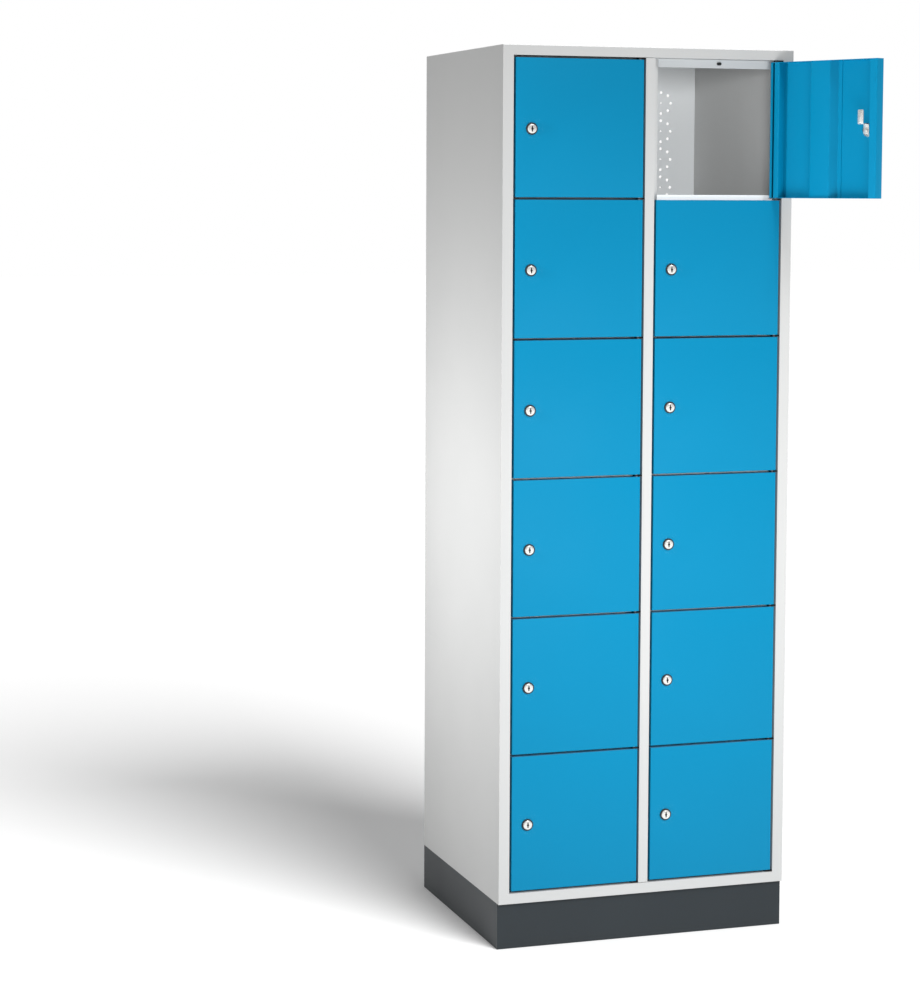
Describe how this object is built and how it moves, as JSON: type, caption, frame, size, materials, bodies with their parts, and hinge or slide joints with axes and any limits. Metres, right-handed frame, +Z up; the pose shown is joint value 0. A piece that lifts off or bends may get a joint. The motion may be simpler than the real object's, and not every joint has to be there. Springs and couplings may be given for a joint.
{
  "type": "compartment locker",
  "caption": "Two-column steel compartment locker on a plinth, with inset hinged doors, keyed cam locks, shelves, centre post and a ventilated back panel.",
  "frame": {"origin": "middle of the carcass footprint on the floor, on the plinth's bottom face", "axes": "+Z up, +X to the right as seen by a person facing the doors, the doors face -Y"},
  "size_m": [0.7037, 0.7379, 1.8],
  "materials": {
    "body_paint": "light grey powder coat, satin",
    "door_paint": "blue powder coat, satin",
    "plinth_paint": "anthracite powder coat, satin",
    "lock_nickel": "nickel plated, slightly brushed",
    "lock_body_metal": "dull nickel plate",
    "black_steel": "blackened, semi-matt",
    "zinc_steel": "zinc plated",
    "buffer_rubber": "matte"
  },
  "bodies": {
    "carcass": {"front_frame": "body_paint", "centre_post": "body_paint", "side_panel_left": "body_paint", "side_panel_right": "body_paint", "top_panel": "body_paint", "floor_panel": "body_paint", "back_panel": "body_paint", "centre_partition": "body_paint", "shelf_left_1": "body_paint", "shelf_left_2": "body_paint", "shelf_left_3": "body_paint", "shelf_left_4": "body_paint", "shelf_left_5": "body_paint", "shelf_right_1": "body_paint", "shelf_right_2": "body_paint", "shelf_right_3": "body_paint", "shelf_right_4": "body_paint", "shelf_right_5": "body_paint", "top_stop_rails": "body_paint", "hinge_brackets": "black_steel", "hinge_pins": "zinc_steel", "door_buffers": "buffer_rubber", "plinth": "plinth_paint", "levelling_feet": "zinc_steel"},
    "door_left_1": {"door_left_1": "door_paint", "lock_body_left_1": "lock_body_metal"},
    "lock_cam_left_1": {"lock_cam_left_1": "lock_nickel"},
    "door_left_2": {"door_left_2": "door_paint", "lock_body_left_2": "lock_body_metal"},
    "lock_cam_left_2": {"lock_cam_left_2": "lock_nickel"},
    "door_left_3": {"door_left_3": "door_paint", "lock_body_left_3": "lock_body_metal"},
    "lock_cam_left_3": {"lock_cam_left_3": "lock_nickel"},
    "door_left_4": {"door_left_4": "door_paint", "lock_body_left_4": "lock_body_metal"},
    "lock_cam_left_4": {"lock_cam_left_4": "lock_nickel"},
    "door_left_5": {"door_left_5": "door_paint", "lock_body_left_5": "lock_body_metal"},
    "lock_cam_left_5": {"lock_cam_left_5": "lock_nickel"},
    "door_left_6": {"door_left_6": "door_paint", "lock_body_left_6": "lock_body_metal"},
    "lock_cam_left_6": {"lock_cam_left_6": "lock_nickel"},
    "door_right_1": {"door_right_1": "door_paint", "lock_body_right_1": "lock_body_metal"},
    "lock_cam_right_1": {"lock_cam_right_1": "lock_nickel"},
    "door_right_2": {"door_right_2": "door_paint", "lock_body_right_2": "lock_body_metal"},
    "lock_cam_right_2": {"lock_cam_right_2": "lock_nickel"},
    "door_right_3": {"door_right_3": "door_paint", "lock_body_right_3": "lock_body_metal"},
    "lock_cam_right_3": {"lock_cam_right_3": "lock_nickel"},
    "door_right_4": {"door_right_4": "door_paint", "lock_body_right_4": "lock_body_metal"},
    "lock_cam_right_4": {"lock_cam_right_4": "lock_nickel"},
    "door_right_5": {"door_right_5": "door_paint", "lock_body_right_5": "lock_body_metal"},
    "lock_cam_right_5": {"lock_cam_right_5": "lock_nickel"},
    "door_right_6": {"door_right_6": "door_paint", "lock_body_right_6": "lock_body_metal"},
    "lock_cam_right_6": {"lock_cam_right_6": "lock_nickel"}
  },
  "joints": [
    {"name": "door_hinge_left_1", "type": "hinge", "parent": "carcass", "child": "door_left_1", "pos_m": [-0.0205, -0.244, 1.63929], "axis": [0, 0, 1], "range_deg": [0, 115]},
    {"name": "lock_turn_left_1", "type": "hinge", "parent": "door_left_1", "child": "lock_cam_left_1", "pos_m": [-0.2505, -0.25, 1.63679], "axis": [0, -1, 0], "range_deg": [0, 90]},
    {"name": "door_hinge_left_2", "type": "hinge", "parent": "carcass", "child": "door_left_2", "pos_m": [-0.0205, -0.244, 1.36237], "axis": [0, 0, 1], "range_deg": [0, 115]},
    {"name": "lock_turn_left_2", "type": "hinge", "parent": "door_left_2", "child": "lock_cam_left_2", "pos_m": [-0.2505, -0.25, 1.35987], "axis": [0, -1, 0], "range_deg": [0, 90]},
    {"name": "door_hinge_left_3", "type": "hinge", "parent": "carcass", "child": "door_left_3", "pos_m": [-0.0205, -0.244, 1.08546], "axis": [0, 0, 1], "range_deg": [0, 115]},
    {"name": "lock_turn_left_3", "type": "hinge", "parent": "door_left_3", "child": "lock_cam_left_3", "pos_m": [-0.2505, -0.25, 1.08296], "axis": [0, -1, 0], "range_deg": [0, 90]},
    {"name": "door_hinge_left_4", "type": "hinge", "parent": "carcass", "child": "door_left_4", "pos_m": [-0.0205, -0.244, 0.80854], "axis": [0, 0, 1], "range_deg": [0, 115]},
    {"name": "lock_turn_left_4", "type": "hinge", "parent": "door_left_4", "child": "lock_cam_left_4", "pos_m": [-0.2505, -0.25, 0.80604], "axis": [0, -1, 0], "range_deg": [0, 90]},
    {"name": "door_hinge_left_5", "type": "hinge", "parent": "carcass", "child": "door_left_5", "pos_m": [-0.0205, -0.244, 0.53163], "axis": [0, 0, 1], "range_deg": [0, 115]},
    {"name": "lock_turn_left_5", "type": "hinge", "parent": "door_left_5", "child": "lock_cam_left_5", "pos_m": [-0.2505, -0.25, 0.52912], "axis": [0, -1, 0], "range_deg": [0, 90]},
    {"name": "door_hinge_left_6", "type": "hinge", "parent": "carcass", "child": "door_left_6", "pos_m": [-0.0205, -0.244, 0.25471], "axis": [0, 0, 1], "range_deg": [0, 115]},
    {"name": "lock_turn_left_6", "type": "hinge", "parent": "door_left_6", "child": "lock_cam_left_6", "pos_m": [-0.2505, -0.25, 0.25221], "axis": [0, -1, 0], "range_deg": [0, 90]},
    {"name": "door_hinge_right_1", "type": "hinge", "parent": "carcass", "child": "door_right_1", "pos_m": [0.2775, -0.244, 1.63929], "axis": [0, 0, 1], "range_deg": [-115, 0]},
    {"name": "lock_turn_right_1", "type": "hinge", "parent": "door_right_1", "child": "lock_cam_right_1", "pos_m": [0.38014, -0.44992, 1.63679], "axis": [0.9063, 0.4226, 0], "range_deg": [0, 90]},
    {"name": "door_hinge_right_2", "type": "hinge", "parent": "carcass", "child": "door_right_2", "pos_m": [0.2775, -0.244, 1.36237], "axis": [0, 0, 1], "range_deg": [0, 115]},
    {"name": "lock_turn_right_2", "type": "hinge", "parent": "door_right_2", "child": "lock_cam_right_2", "pos_m": [0.0475, -0.25, 1.35987], "axis": [0, -1, 0], "range_deg": [0, 90]},
    {"name": "door_hinge_right_3", "type": "hinge", "parent": "carcass", "child": "door_right_3", "pos_m": [0.2775, -0.244, 1.08546], "axis": [0, 0, 1], "range_deg": [0, 115]},
    {"name": "lock_turn_right_3", "type": "hinge", "parent": "door_right_3", "child": "lock_cam_right_3", "pos_m": [0.0475, -0.25, 1.08296], "axis": [0, -1, 0], "range_deg": [0, 90]},
    {"name": "door_hinge_right_4", "type": "hinge", "parent": "carcass", "child": "door_right_4", "pos_m": [0.2775, -0.244, 0.80854], "axis": [0, 0, 1], "range_deg": [0, 115]},
    {"name": "lock_turn_right_4", "type": "hinge", "parent": "door_right_4", "child": "lock_cam_right_4", "pos_m": [0.0475, -0.25, 0.80604], "axis": [0, -1, 0], "range_deg": [0, 90]},
    {"name": "door_hinge_right_5", "type": "hinge", "parent": "carcass", "child": "door_right_5", "pos_m": [0.2775, -0.244, 0.53163], "axis": [0, 0, 1], "range_deg": [0, 115]},
    {"name": "lock_turn_right_5", "type": "hinge", "parent": "door_right_5", "child": "lock_cam_right_5", "pos_m": [0.0475, -0.25, 0.52912], "axis": [0, -1, 0], "range_deg": [0, 90]},
    {"name": "door_hinge_right_6", "type": "hinge", "parent": "carcass", "child": "door_right_6", "pos_m": [0.2775, -0.244, 0.25471], "axis": [0, 0, 1], "range_deg": [0, 115]},
    {"name": "lock_turn_right_6", "type": "hinge", "parent": "door_right_6", "child": "lock_cam_right_6", "pos_m": [0.0475, -0.25, 0.25221], "axis": [0, -1, 0], "range_deg": [0, 90]}
  ]
}
